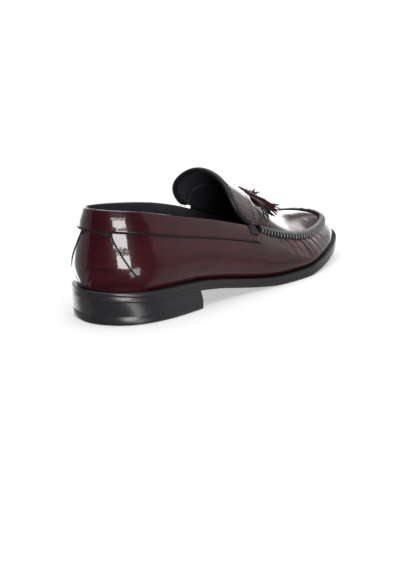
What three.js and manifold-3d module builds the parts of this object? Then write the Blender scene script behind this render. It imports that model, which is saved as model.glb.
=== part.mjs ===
import * as THREE from "three";
import Module from "manifold-3d";

// A slip-on dress shoe with a raised apron seam and two tassels, for the right foot.
// +Y points to the toe, +X to the outer side of the foot, and the sole stands on Z = 0.

// Sole sizes, in millimetres
const soleLength = 300;
const ballWidth = 105;
const heelLift = 17;
const toeSpring = 13;
const outsoleThickness = 3.9;
const weltThickness = 2.4;
const insoleThickness = 2;
const heelLength = 78.7;
const heelSpread = 1.05;
const heelUndercut = 3;
const topPieceThickness = 6;
const weltMargin = 4.2;

// Upper sizes
const collarRise = 52.5;
const instepRise = 33;
const wall = 2.2;
const liningThickness = 1.2;
const apronThickness = 1.5;
const tongueThickness = 2.5;
const overlayThickness = 1.2;
const clearance = 0.3;
const apronGap = 0.4;
const bandBackDepth = 14.8;
const bandFrontDepth = 11.2;
const bandTaper = 2;
const seamReach = 2.6;
const seamHeight = 1.7;
const bindingReach = 1.7;
const bindingThickness = 0.8;
const bindingEnd = 0.985;
const tabHeight = 7;
const counterFoot = 0.62;
const counterFootHeight = 0.05;
const counterStart = 0.03;
const counterSteepness = 1.25;
const strapLap = 5;

// Tassel sizes
const tasselLength = 33;
const tasselRadius = 2.8;
const tasselLap = 3.5;
const rootGirth = 0.55;
const tasselStrips = 7;
const stripWidth = 3;
const stripThickness = 0.9;
const stayLength = 8.5;
const stayWidth = 3.4;
const stayThickness = 2.4;

// Places along the sole, as shares of its length from the back
const throatShare = 0.51;
const bandEndShare = 0.498;
const tabShares = [0.472, 0.497];
const tongueTopShare = 0.437;
const tongueEarShare = 0.01;
const tongueFootShare = 0.49;
const strapCentreShare = 0.588;
const strapSideShare = 0.512;
const strapPoint = 3;

const named = (columns, rows) => rows.map((row) => Object.fromEntries(columns.map((name, i) => [name, row[i]])));

// Half widths of the sole on its outer and inner side, as shares of the ball width
const outline = named(["share", "outer", "inner"], [
  [0, 0.01, 0.01],
  [0.02, 0.171, -0.148],
  [0.055, 0.26, -0.262],
  [0.11, 0.322, -0.326],
  [0.18, 0.356, -0.342],
  [0.26, 0.367, -0.33],
  [0.36, 0.382, -0.316],
  [0.46, 0.414, -0.33],
  [0.56, 0.467, -0.387],
  [0.64, 0.498, -0.447],
  [0.71, 0.497, -0.489],
  [0.78, 0.461, -0.5],
  [0.85, 0.404, -0.472],
  [0.91, 0.333, -0.408],
  [0.955, 0.25, -0.322],
  [0.985, 0.134, -0.204],
  [1, -0.035, -0.035],
]);

// Height of the underside, as shares of the heel lift and of the toe spring
const profile = named(["share", "lift", "spring"], [
  [0, 1, 0],
  [0.06, 0.915, 0],
  [0.12, 0.86, 0],
  [0.19, 0.825, 0],
  [0.26, 0.75, 0],
  [0.34, 0.57, 0],
  [0.42, 0.32, 0],
  [0.5, 0.1, 0],
  [0.55, 0.015, 0],
  [0.575, 0, 0],
  [0.68, 0, 0],
  [0.73, 0, 0.1],
  [0.79, 0, 0.25],
  [0.86, 0, 0.47],
  [0.93, 0, 0.73],
  [1, 0, 1],
]);

// Collar and apron seam: height over the sole as shares of the collar rise,
// and setting in from the sole's edge as shares of the ball width
const rim = named(["share", "outerRise", "innerRise", "outerInset", "innerInset"], [
  [0, 1.055, 1.055, 0.08, 0.08],
  [0.04, 1.05, 1.035, 0.086, 0.086],
  [0.1, 1.017, 1.02, 0.09, 0.091],
  [0.18, 0.932, 0.985, 0.088, 0.088],
  [0.28, 0.845, 0.95, 0.082, 0.083],
  [0.4, 0.785, 0.93, 0.087, 0.089],
  [0.5, 0.71, 0.86, 0.109, 0.111],
  [0.6, 0.555, 0.71, 0.137, 0.143],
  [0.7, 0.435, 0.555, 0.137, 0.167],
  [0.8, 0.345, 0.42, 0.13, 0.18],
  [0.88, 0.3, 0.34, 0.122, 0.181],
  [0.94, 0.28, 0.295, 0.118, 0.176],
  [0.98, 0.275, 0.28, 0.128, 0.165],
  [1, 0.28, 0.28, 0.155, 0.155],
]);

// How far the wall swells out between sole and rim, as shares of the ball width
const swell = named(["share", "outer", "inner"], [
  [0, 0.034, 0.034],
  [0.1, 0.044, 0.044],
  [0.25, 0.056, 0.058],
  [0.4, 0.072, 0.068],
  [0.55, 0.072, 0.07],
  [0.7, 0.055, 0.058],
  [0.85, 0.038, 0.045],
  [0.95, 0.02, 0.03],
  [1, 0.018, 0.018],
]);

// Arch of the apron and tongue over the rim: its height as shares of the instep rise
const crown = named(["share", "height", "roundness"], [
  [0, 1, 1],
  [0.3, 1, 1],
  [0.427, 0.985, 1],
  [0.5, 0.85, 1.05],
  [0.553, 0.73, 1.15],
  [0.59, 0.6, 1.3],
  [0.63, 0.44, 1.5],
  [0.68, 0.32, 1.75],
  [0.74, 0.26, 1.95],
  [0.82, 0.225, 2],
  [0.88, 0.18, 2],
  [0.94, 0.11, 2],
  [1, 0, 2],
]);

const leather = new THREE.MeshStandardMaterial({ color: 0x4a1822, roughness: 0.12 });
const lining = new THREE.MeshStandardMaterial({ color: 0x1b1d22, roughness: 0.55 });
const thread = new THREE.MeshStandardMaterial({ color: 0x14161a, roughness: 0.4 });
const soling = new THREE.MeshStandardMaterial({ color: 0x2b2d31, roughness: 0.35 });
const rubber = new THREE.MeshStandardMaterial({ color: 0x1d1e20, roughness: 0.6 });

const turn = 2 * Math.PI;
const mix = (a, b, k) => a + (b - a) * k;
const clamp = (x, low, high) => Math.min(high, Math.max(low, x));
const steps = (count) => Array.from({ length: count + 1 }, (_, i) => i / count);
const vector = (x, y, z) => new THREE.Vector3(x, y, z);

// A smooth curve through knots; a steady one never overshoots them, and a loop repeats
function curve(knots, { steady = false, period = 0 } = {}) {
  const shifts = period ? [-period, 0, period] : [0];
  const points = shifts.flatMap((shift) => knots.map(([x, y]) => [x + shift, y]));
  const last = points.length - 1;
  const span = (i) => points[i + 1][0] - points[i][0];
  const secant = (i) => (points[i + 1][1] - points[i][1]) / span(i);
  const slopes = points.map((_, i) => secant(Math.min(i, last - 1)));
  for (let pass = 0; pass < (steady ? 1 : 40); pass += 1) {
    for (let i = 1; i < last; i += 1) {
      const before = span(i - 1);
      const after = span(i);
      if (steady) {
        const together = secant(i - 1) * secant(i);
        slopes[i] = together > 0 ? (2 * together) / (secant(i - 1) + secant(i)) : 0;
      } else {
        const pull = 3 * (after * secant(i - 1) + before * secant(i));
        slopes[i] = (pull - after * slopes[i - 1] - before * slopes[i + 1]) / (2 * (before + after));
      }
    }
  }
  return (at) => {
    const x = period ? ((at % period) + period) % period : at;
    let i = 0;
    while (i < last - 1 && x > points[i + 1][0]) i += 1;
    const k = (x - points[i][0]) / span(i);
    const rest = 1 - k;
    const ends = points[i][1] * rest * rest * (1 + 2 * k) + points[i + 1][1] * k * k * (3 - 2 * k);
    return ends + span(i) * k * rest * (slopes[i] * rest - slopes[i + 1] * k);
  };
}

// An angle runs round the shoe: back 0, outer side, toe at half a turn, inner side
const angleAt = (share) => Math.acos(clamp(1 - 2 * share, -1, 1));
const shareAt = (angle) => (1 - Math.cos(angle)) / 2;

function ring(rows, outer, inner = outer) {
  const there = rows.map((row) => [angleAt(row.share), row[outer]]);
  const back = rows.slice(1, -1).reverse().map((row) => [turn - angleAt(row.share), row[inner]]);
  return curve([...there, ...back], { period: turn });
}

const edgeShare = ring(outline, "outer", "inner");
const riseShare = ring(rim, "outerRise", "innerRise");
const insetShare = ring(rim, "outerInset", "innerInset");
const swellShare = ring(swell, "outer", "inner");
const crownShare = ring(crown, "height");
const roundness = ring(crown, "roundness");
const lift = curve(profile.map((row) => [row.share, row.lift]), { steady: true });
const spring = curve(profile.map((row) => [row.share, row.spring]), { steady: true });

// Sole outline and heights
function planPoint(angle, inset) {
  const at = (u) => [edgeShare(u) * ballWidth, -Math.cos(u) * soleLength / 2];
  const [x, y] = at(angle);
  const [x0, y0] = at(angle - 0.001);
  const [x1, y1] = at(angle + 0.001);
  const reach = Math.hypot(x1 - x0, y1 - y0);
  return [x - inset * (y1 - y0) / reach, y + inset * (x1 - x0) / reach];
}

function underside(y) {
  const share = clamp(y / soleLength + 0.5, 0, 1);
  return lift(share) * heelLift + spring(share) * toeSpring;
}

const outsoleTop = (y) => underside(y) + outsoleThickness;
const weltBottom = (y) => outsoleTop(y) + clearance;
const weltTop = (y) => weltBottom(y) + weltThickness;

// Closed body from points and triangles, with its faces turned out
function body(points, triangles) {
  const cross = new THREE.Vector3();
  const volume = triangles.reduce(
    (sum, [a, b, c]) => sum + points[a].dot(cross.crossVectors(points[b], points[c])), 0);
  const faces = volume < 0 ? triangles.map(([a, b, c]) => [a, c, b]) : triangles;
  const geometry = new THREE.BufferGeometry();
  const numbers = points.flatMap((point) => point.toArray());
  geometry.setAttribute("position", new THREE.Float32BufferAttribute(numbers, 3));
  geometry.setIndex(faces.flat());
  geometry.computeVertexNormals();
  return geometry;
}

// A skin has an outer and an inner point at each vertex and is closed along its open edges
class Skin {
  pairs = [];
  triangles = [];

  vertex(outer, inner) {
    this.pairs.push([outer, inner]);
    return this.pairs.length - 1;
  }

  triangle(a, b, c) {
    if (a !== b && b !== c && c !== a) this.triangles.push([a, b, c]);
  }

  strip(first, second) {
    for (let i = 1; i < first.length; i += 1) {
      this.triangle(first[i - 1], first[i], second[i]);
      this.triangle(first[i - 1], second[i], second[i - 1]);
    }
  }

  strips(rows) {
    rows.slice(1).forEach((row, i) => this.strip(rows[i], row));
  }

  geometry() {
    const count = this.pairs.length;
    const key = (a, b) => a * count + b;
    const sides = this.triangles.flatMap(([a, b, c]) => [[a, b], [b, c], [c, a]]);
    const known = new Set(sides.map(([a, b]) => key(a, b)));
    const border = sides.filter(([a, b]) => !known.has(key(b, a)));
    const faces = [
      ...this.triangles,
      ...this.triangles.map(([a, b, c]) => [a + count, c + count, b + count]),
      ...border.flatMap(([a, b]) => [[b, a, a + count], [b, a + count, b + count]]),
    ];
    return body([...this.pairs.map(([outer]) => outer), ...this.pairs.map(([, inner]) => inner)], faces);
  }
}

function patch(rows, columns, place) {
  const skin = new Skin();
  skin.strips(steps(rows).map((v) => steps(columns).map((u) => skin.vertex(...place(u, v)))));
  return skin.geometry();
}

// A flat section carried through places, with its two ends closed
function sweep(section, count, place) {
  const size = section.length;
  const points = steps(count).flatMap((k) => section.map(([a, b]) => place(k, a, b)));
  const triangles = [];
  for (let i = 0; i < count; i += 1) {
    for (let j = 0; j < size; j += 1) {
      const next = (j + 1) % size;
      const [a, b, c, d] = [i * size + j, i * size + next, (i + 1) * size + next, (i + 1) * size + j];
      triangles.push([a, b, c], [a, c, d]);
    }
  }
  const flat = section.map(([a, b]) => new THREE.Vector2(a, b));
  const clockwise = THREE.ShapeUtils.isClockWise(flat);
  for (const [a, b, c] of THREE.ShapeUtils.triangulateShape(flat, [])) {
    const far = count * size;
    const [p, q] = clockwise ? [b, c] : [c, b];
    triangles.push([a, p, q], [a + far, q + far, p + far]);
  }
  return body(points, triangles);
}

// Sole plates: rows across the shoe, with an outline for each face
function plate({ from = 0, to = Math.PI, rows = 36, upperEdge, lowerEdge, upper, lower }) {
  const skin = new Skin();
  const face = (edge, height, angle, across) => {
    const [x0, y0] = edge(angle);
    const [x1, y1] = edge(turn - angle);
    const y = mix(y0, y1, across);
    return vector(mix(x0, x1, across), y, height(y));
  };
  const grid = steps(rows).map((k) => {
    const angle = mix(from, to, k);
    const closed = Math.sin(angle) < 1e-6;
    const cells = steps(2).map((across) => [
      face(upperEdge, upper, angle, across),
      face(lowerEdge, lower, angle, across),
    ]);
    if (closed) return cells.fill(skin.vertex(...cells[0]));
    return cells.map((pair) => skin.vertex(...pair));
  });
  skin.strips(grid);
  return skin.geometry();
}

// The last: a wall round the foot, and an arch over the apron and tongue
const rimRise = (angle) => riseShare(angle) * collarRise;

function wallFace(angle, height) {
  const fullness = height * (1.6 - 0.6 * height);
  const bulge = 4 * fullness * (1 - fullness) * swellShare(angle) * ballWidth;
  const inset = mix(weltMargin, insetShare(angle) * ballWidth, height) - bulge;
  const [x, y] = planPoint(angle, inset);
  return vector(x, y, weltTop(y) + mix(clearance, rimRise(angle), height));
}

function archFace(across, angle) {
  const outer = wallFace(angle, 1);
  const inner = wallFace(turn - angle, 1);
  const place = inner.lerp(outer, (1 + across) / 2);
  const rise = Math.max(0, 1 - across * across) ** (roundness(angle) / 2);
  place.z += crownShare(angle) * instepRise * rise;
  return place;
}

function normalOf(face, a, b, stepA, stepB) {
  const alongA = face(a + stepA, b).sub(face(a - stepA, b));
  const alongB = face(a, b + stepB).sub(face(a, b - stepB));
  return alongA.cross(alongB).normalize();
}

const wallNormal = (angle, height) => normalOf(wallFace, angle, height, 0.004, 0.004);

function archNormal(across, angle) {
  const sway = clamp(across, -0.985, 0.985);
  return normalOf(archFace, sway, Math.min(angle, Math.PI - 0.12), 0.01, 0.004);
}

const onWall = (angle, height, off) => wallFace(angle, height).addScaledVector(wallNormal(angle, height), off);
const onArch = (across, angle, off) => archFace(across, angle).addScaledVector(archNormal(across, angle), off);

// Rings inside the seam line: margin is the way in from the rim, toeCurve the rim's radius at the toe
const toeCurve = 24;
const halfChord = (angle) => wallFace(angle, 1).distanceTo(wallFace(turn - angle, 1)) / 2;

function ringEnd(margin) {
  let [low, high] = [Math.PI * 0.6, Math.PI];
  for (let i = 0; i < 30; i += 1) {
    const middle = (low + high) / 2;
    if (halfChord(middle) ** 2 > 2 * margin * toeCurve) low = middle;
    else high = middle;
  }
  return low;
}

function ringAcross(angle, margin) {
  if (margin === 0) return 1;
  const half = halfChord(angle);
  const height = crownShare(angle) * instepRise;
  let [low, high] = [0, 1];
  for (let i = 0; i < 24; i += 1) {
    const middle = (low + high) / 2;
    const rise = height * (1 - middle * middle) ** (roundness(angle) / 2);
    if (Math.hypot(half * (1 - middle), rise) > margin) low = middle;
    else high = middle;
  }
  const inward = half * (1 - low);
  return Math.sqrt(Math.max(0, 1 - 2 * inward * Math.max(half, toeCurve) / half ** 2));
}

const throatAngle = angleAt(throatShare);
const seamSteps = 24;
const heelSteps = 34;
const archColumns = 14;
const heelAngles = steps(heelSteps).map((k) => mix(-throatAngle, throatAngle, k));
const ends = new Map();

// k runs from 0 at the throat to 1 at the toe tip
function ringAngle(k, margin) {
  if (!ends.has(margin)) ends.set(margin, margin ? ringEnd(margin) : Math.PI);
  return mix(throatAngle, ends.get(margin), k);
}

function onRing(k, side, margin, off) {
  const angle = ringAngle(k, margin);
  return onArch(side * ringAcross(angle, margin), angle, off);
}

// Corner of two leaned faces, set off by the same depth
function creasePoint(angle, off) {
  const side = Math.sign(Math.sin(angle)) || 1;
  const across = angle > Math.PI ? turn - angle : angle;
  const wallSide = wallNormal(angle, 1);
  const archSide = archNormal(side, across);
  const share = off / (1 + wallSide.dot(archSide));
  return wallFace(angle, 1).addScaledVector(wallSide, share).addScaledVector(archSide, share);
}

const ledge = 1.2;
const apronSeat = apronThickness + apronGap;
const liningDepth = apronSeat + liningThickness;

function upperShell() {
  const skin = new Skin();
  const wallRows = 7;
  const seamWay = steps(seamSteps);
  const angles = [
    ...seamWay.map((k) => ringAngle(k, 0)),
    ...seamWay.slice(0, -1).reverse().map((k) => turn - ringAngle(k, 0)),
    ...heelAngles.slice(1, -1).map((angle) => turn + angle),
  ];
  const seamCount = 2 * seamSteps + 1;
  const loops = steps(wallRows).map((height) => angles.map((angle, i) => {
    const crease = height === 1 && i < seamCount;
    const inner = crease ? creasePoint(angle, -wall) : onWall(angle, height, -wall);
    return skin.vertex(wallFace(angle, height), inner);
  }));
  skin.strips(loops.map((loop) => [...loop, loop[0]]));

  const both = (place) => {
    const there = seamWay.map((k) => skin.vertex(...place(k, 1)));
    const back = seamWay.slice(0, -1).map((k) => skin.vertex(...place(k, -1)));
    return [...there, ...back.reverse()];
  };
  const ledgeRing = both((k, side) => [
    onRing(k, side, ledge, 0),
    onRing(k, side, ledge + wall, -liningDepth),
  ]);
  const seatRing = both((k, side) => [
    onRing(k, side, ledge + clearance, -apronSeat),
    onRing(k, side, ledge + wall + clearance, -liningDepth),
  ]);
  skin.strips([loops.at(-1).slice(0, seamCount), ledgeRing, seatRing]);

  const columns = steps(archColumns).slice(1, -1).map((k) => Math.cos(Math.PI * k));
  const rows = seamWay.slice(0, -1).map((k, i) => [
    seatRing[i],
    ...columns.map((share) => {
      const place = (margin, off) => {
        const angle = ringAngle(k, margin);
        return onArch(share * ringAcross(angle, margin), angle, off);
      };
      return skin.vertex(
        place(ledge + clearance, -apronSeat),
        place(ledge + wall + clearance, -liningDepth));
    }),
    seatRing[seamCount - 1 - i],
  ]);
  const tip = rows[0].map(() => seatRing[seamSteps]);
  [...rows, tip].slice(1).forEach((row, i) => {
    const before = rows[i];
    for (let j = 1; j < row.length; j += 1) {
      skin.triangle(before[j - 1], row[j - 1], row[j]);
      skin.triangle(before[j - 1], row[j], before[j]);
    }
  });
  return skin.geometry();
}

// Apron: from under the strap to the toe, seated in the upper's step
const apronMargin = ledge + 2.5 * clearance;

function strapEdge(across) {
  return mix(strapSideShare, strapCentreShare, Math.max(0, 1 - across * across) ** strapPoint);
}

function apronPlate() {
  const skin = new Skin();
  const rows = 26;
  const columns = steps(archColumns).map((k) => Math.cos(Math.PI * k));
  const grid = steps(rows).map((k) => {
    const end = ringEnd(apronMargin);
    if (k === 1) {
      const tip = skin.vertex(onArch(0, end, 0), onArch(0, end, -apronThickness));
      return columns.map(() => tip);
    }
    return columns.map((share) => {
      const start = angleAt(strapEdge(share) - strapLap / soleLength);
      const angle = mix(start, end, k);
      const across = share * ringAcross(angle, apronMargin);
      return skin.vertex(onArch(across, angle, 0), onArch(across, angle, -apronThickness));
    });
  });
  skin.strips(grid.map((row) => row.reverse()));
  return skin.geometry();
}

// Tongue and strap: one leather over the instep, lapped over the apron's back edge
const strapTop = overlayThickness + clearance;

function tongueMargin(angle) {
  const share = clamp((shareAt(angle) - tongueFootShare) / (throatShare - tongueFootShare), 0, 1);
  return mix(ledge, seamReach + 3 * clearance, share);
}

function tongueEdge(side) {
  const ear = tongueEarShare * Math.sin(Math.PI * side * side) ** 2;
  return angleAt(mix(tongueTopShare, tongueFootShare, Math.abs(side) ** 8) - ear);
}

const tongueSides = steps(26).map((k) => Math.sin(mix(-0.5, 0.5, k) * Math.PI));

// side runs from -1 at the inner foot of the tongue to 1 at the outer one
function onTongue(side, angle, off) {
  const across = Math.sin(side * Math.PI / 2) * ringAcross(angle, tongueMargin(angle));
  return onArch(across, angle, off);
}

function tongueSheet() {
  const backRows = 6;
  const lapRows = 2;
  const skin = new Skin();
  const lapStart = (side) => {
    const share = strapEdge(Math.sin(side * Math.PI / 2)) - (strapLap + 2 * clearance) / soleLength;
    return angleAt(share);
  };
  const frontEdge = (side) => angleAt(strapEdge(Math.sin(side * Math.PI / 2)));
  const inner = strapTop - tongueThickness;
  const back = steps(backRows).map((k) => tongueSides.map((side) => {
    const angle = mix(tongueEdge(side), lapStart(side), k);
    return skin.vertex(onTongue(side, angle, strapTop), onTongue(side, angle, inner));
  }));
  const lap = steps(lapRows).map((k) => tongueSides.map((side) => {
    const angle = mix(lapStart(side) + clearance / soleLength, frontEdge(side), k);
    return skin.vertex(onTongue(side, angle, strapTop), onTongue(side, angle, clearance));
  }));
  skin.strips([...back, ...lap]);
  return skin.geometry();
}

// Folded binding round the tongue's free edge
function tongueBinding() {
  const [top, bottom] = [strapTop + clearance, strapTop - tongueThickness - clearance];
  const section = [
    [bindingReach, top],
    [bindingReach, top + bindingThickness],
    [-clearance - bindingThickness, top + bindingThickness],
    [-clearance - bindingThickness, bottom - bindingThickness],
    [bindingReach, bottom - bindingThickness],
    [bindingReach, bottom],
    [-clearance, bottom],
    [-clearance, top],
  ];
  const boundSides = tongueSides.filter((side) => Math.abs(side) < bindingEnd);
  const place = (k, reach, off) => {
    const side = boundSides[Math.round(k * (boundSides.length - 1))];
    const angle = tongueEdge(side);
    const edge = (at) => onTongue(at, tongueEdge(at), 0);
    const tangent = edge(side + 0.004).sub(edge(side - 0.004)).normalize();
    const alongSide = onTongue(side + 0.004, angle, 0).sub(onTongue(side - 0.004, angle, 0)).divideScalar(0.008);
    const alongAngle = onTongue(side, angle + 0.004, 0).sub(onTongue(side, angle - 0.004, 0)).divideScalar(0.008);
    const up = alongSide.clone().cross(alongAngle).normalize();
    const inward = up.clone().cross(tangent);
    const [aa, ab, bb] = [alongSide.dot(alongSide), alongSide.dot(alongAngle), alongAngle.dot(alongAngle)];
    const [ra, rb] = [inward.dot(alongSide), inward.dot(alongAngle)];
    const scale = reach / (aa * bb - ab * ab);
    return onTongue(side + (ra * bb - rb * ab) * scale, angle + (rb * aa - ra * ab) * scale, off);
  };
  return sweep(section, boundSides.length - 1, place);
}

// Overlays on the quarters
const overlayFaces = (angle, height) => [
  onWall(angle, height, clearance + overlayThickness),
  onWall(angle, height, clearance),
];

function bandFoot(angle) {
  const share = clamp(shareAt(angle) / bandEndShare, 0, 1);
  return 1 - mix(bandBackDepth, bandFrontDepth, share ** bandTaper) / rimRise(angle);
}

function collarBand() {
  const end = angleAt(bandEndShare);
  const angles = [-end, ...heelAngles.filter((angle) => Math.abs(angle) < end - 0.03), end];
  return patch(2, angles.length - 1, (u, v) => {
    const angle = angles[Math.round(u * (angles.length - 1))];
    return overlayFaces(angle, mix(bandFoot(angle), 1, v));
  });
}

// The counter's front seam leans forward as it goes down; it follows the wall's own columns
function heelCounter() {
  const seamTop = (angle) => {
    const back = (counterFoot - Math.abs(angle)) / counterFoot;
    return counterFootHeight + counterSteepness * back ** counterSteepness;
  };
  const top = (angle) => Math.min(bandFoot(angle) - clearance / collarRise, seamTop(angle));
  const inside = heelAngles.flatMap((angle, i) => [angle, (angle + (heelAngles[i + 1] ?? angle)) / 2]);
  const foot = counterFoot - 0.01;
  const angles = [-foot, ...inside.filter((angle) => Math.abs(angle) < foot - 0.02), foot];
  return patch(5, angles.length - 1, (u, v) => {
    const angle = angles[Math.round(u * (angles.length - 1))];
    return overlayFaces(angle, mix(counterStart, top(angle), v));
  });
}

function seamTab(side) {
  const [back, front] = tabShares.map(angleAt);
  const lowest = clearance + overlayThickness + clearance;
  return patch(3, 4, (u, v) => {
    const angle = side * (side > 0 ? mix(back, front, u) : mix(front, back, u));
    const height = 1 - mix(tabHeight, clearance, v) / rimRise(angle);
    return [onWall(angle, height, lowest + overlayThickness), onWall(angle, height, lowest)];
  });
}

// Raised seam along the apron: a rounded ridge over the upper's corner and the apron's edge
function apronSeam() {
  const wallSide = (angle, way, off) => onWall(angle, 1 - way / rimRise(angle), off);
  const crest = seamHeight + clearance;
  const places = [
    (k, side, angle) => wallSide(angle, seamReach, clearance),
    (k, side, angle) => creasePoint(angle, clearance),
    (k, side) => onRing(k, side, seamReach, clearance),
    (k, side) => onRing(k, side, seamReach, crest * 0.55),
    (k, side) => onRing(k, side, seamReach * 0.5, crest),
    (k, side, angle) => creasePoint(angle, crest),
    (k, side, angle) => wallSide(angle, seamReach * 0.6, crest * 0.85),
    (k, side, angle) => wallSide(angle, seamReach, crest * 0.4),
  ];
  const section = [[0, 0], [1, -1], [2, 0], [2, 1], [1.5, 2], [1, 2.2], [0.5, 2], [0, 1]];
  return sweep(section, 2 * seamSteps, (k, a, b) => {
    const number = section.findIndex(([p, q]) => p === a && q === b);
    const side = k <= 0.5 ? 1 : -1;
    const way = mix(0.012, 1, 1 - Math.abs(2 * k - 1));
    const angle = ringAngle(way, 0);
    return places[number](way, side, side > 0 ? angle : turn - angle);
  });
}

// Tassels
const wasm = await Module();
wasm.setup();

function toManifold(geometry) {
  return new wasm.Manifold(new wasm.Mesh({
    numProp: 3,
    vertProperties: new Float32Array(geometry.attributes.position.array),
    triVerts: new Uint32Array(geometry.index.array),
  }));
}

function fromManifold(solid) {
  const mesh = solid.getMesh();
  const geometry = new THREE.BufferGeometry();
  geometry.setAttribute("position", new THREE.BufferAttribute(mesh.vertProperties.slice(), 3));
  geometry.setIndex([...mesh.triVerts]);
  geometry.computeVertexNormals();
  return geometry;
}

// A rolled head that opens into strips; bend is a curve along which it lies
function tassel(bend) {
  const sideways = (k) => {
    const along = bend.getTangent(k);
    const right = along.clone().cross(vector(0, 0, 1)).normalize();
    return [right, right.clone().cross(along)];
  };
  const place = (k, x, y) => {
    const [right, up] = sideways(k);
    return bend.getPoint(k).addScaledVector(right, x).addScaledVector(up, y);
  };
  const circle = steps(8).slice(0, -1).map((k) => [Math.cos(turn * k), Math.sin(turn * k)]);
  const girth = curve([[0, rootGirth], [0.06, 0.85], [0.3, 1], [0.6, 1.3], [0.72, 1.35], [0.8, 0.6]], { steady: true });
  const head = sweep(circle, 6, (k, x, y) => {
    const radius = girth(0.8 * k) * tasselRadius;
    return place(0.8 * k, x * radius, y * radius);
  });
  const strip = (number) => {
    const around = turn * (number + 0.5) / tasselStrips;
    const reach = 1 - 0.035 * ((number * 5) % 4);
    const box = [[-0.5, 0], [0.5, 0], [0.5, 1], [-0.5, 1]];
    return sweep(box, 4, (k, x, y) => {
      const way = mix(0.6, reach, k);
      const out = tasselRadius * (0.75 + 0.85 * k ** 1.5) + y * stripThickness;
      const lean = (x * stripWidth * (1 - 0.25 * k)) / tasselRadius / 1.4 + 0.12 * k * ((number % 3) - 1);
      return place(way, out * Math.cos(around + lean), out * Math.sin(around + lean) * (1 - 0.25 * k));
    });
  };
  const strips = Array.from({ length: tasselStrips }, (_, i) => toManifold(strip(i)));
  return fromManifold(strips.reduce((sum, solid) => sum.add(solid), toManifold(head)));
}

const stayFront = strapCentreShare - tasselLap / soleLength;
const rootRise = strapTop + clearance + tasselRadius * rootGirth * 1.2;
const knotPoint = (side) => onArch(side * 0.055, angleAt(stayFront + clearance / soleLength), rootRise);

function hangingTassel(side, direction) {
  const start = knotPoint(side);
  const heading = vector(...direction).normalize();
  const tip = start.clone().addScaledVector(heading, tasselLength);
  const middle = start.clone().lerp(tip, 0.45).add(vector(0, 0, -1.2));
  return tassel(new THREE.QuadraticBezierCurve3(start, middle, tip));
}

function tasselStay() {
  const lowest = strapTop + clearance;
  const from = angleAt(stayFront - stayLength / soleLength);
  return patch(6, 4, (u, v) => {
    const angle = mix(from, angleAt(stayFront), v);
    const across = mix(-0.5, 0.5, u) * stayWidth / halfChord(angle);
    const round = stayThickness * (1 - 0.5 * Math.abs(2 * u - 1) ** 2);
    return [onArch(across, angle, lowest + round), onArch(across, angle, lowest)];
  });
}

// Sole parts
const evenEdge = (inset) => (angle) => planPoint(angle, inset);

function heelEdge(angle) {
  const [x, y] = planPoint(angle, 0);
  const back = clamp(1 - shareAt(angle) * soleLength / heelLength, 0, 1);
  return [x * heelSpread, y + heelUndercut * back ** 2];
}

const heelFront = angleAt(heelLength / soleLength);
const heelTop = (y) => underside(y) - clearance;

const shapes = {
  outsole: [soling, () => plate({
    upperEdge: evenEdge(0), lowerEdge: evenEdge(0.5), upper: outsoleTop, lower: underside })],
  welt: [soling, () => plate({
    upperEdge: evenEdge(0.4), lowerEdge: evenEdge(0.2), upper: weltTop, lower: weltBottom })],
  heel_block: [soling, () => plate({
    to: heelFront, rows: 14, upperEdge: evenEdge(0.3), lowerEdge: heelEdge, upper: heelTop,
    lower: () => topPieceThickness })],
  heel_top_piece: [rubber, () => plate({
    to: heelFront, rows: 14, upperEdge: heelEdge, lowerEdge: heelEdge,
    upper: () => topPieceThickness, lower: () => 0 })],
  insole: [lining, () => plate({
    upperEdge: evenEdge(weltMargin + wall + 2 * clearance),
    lowerEdge: evenEdge(weltMargin + wall + 2 * clearance),
    upper: (y) => weltTop(y) + clearance + insoleThickness, lower: (y) => weltTop(y) + clearance })],
  upper: [leather, upperShell],
  apron: [leather, apronPlate],
  tongue_strap: [leather, tongueSheet],
  tongue_binding: [lining, tongueBinding],
  apron_seam: [thread, apronSeam],
  collar_band: [leather, collarBand],
  heel_counter: [leather, heelCounter],
  seam_tab_outer: [thread, () => seamTab(1)],
  seam_tab_inner: [thread, () => seamTab(-1)],
  tassel_stay: [thread, tasselStay],
  tassel_outer: [leather, () => hangingTassel(1, [15.5, 22, -16.5])],
  tassel_inner: [leather, () => hangingTassel(-1, [-6, 30, -11.5])],
};

const loafer = new THREE.Group();
for (const [name, [material, build]] of Object.entries(shapes)) {
  const mesh = new THREE.Mesh(build(), material);
  mesh.name = name;
  loafer.add(mesh);
}

export default loafer;
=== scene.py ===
import math
import random

import bmesh
import bpy
import numpy as np
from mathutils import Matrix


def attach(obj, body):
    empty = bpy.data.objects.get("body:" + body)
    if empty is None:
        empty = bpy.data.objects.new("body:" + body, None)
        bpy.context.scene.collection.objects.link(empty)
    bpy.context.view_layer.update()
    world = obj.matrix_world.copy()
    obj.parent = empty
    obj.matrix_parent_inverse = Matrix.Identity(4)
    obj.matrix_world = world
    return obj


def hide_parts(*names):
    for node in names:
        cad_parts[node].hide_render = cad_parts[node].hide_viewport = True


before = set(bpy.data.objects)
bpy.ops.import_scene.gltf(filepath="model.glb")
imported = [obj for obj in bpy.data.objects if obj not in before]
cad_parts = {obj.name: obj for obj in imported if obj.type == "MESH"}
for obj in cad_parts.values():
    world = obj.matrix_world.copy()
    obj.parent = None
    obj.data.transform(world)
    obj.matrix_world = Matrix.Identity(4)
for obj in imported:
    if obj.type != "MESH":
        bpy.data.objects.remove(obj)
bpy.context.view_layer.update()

MM = 0.001
TURN = 2 * math.pi

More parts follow.
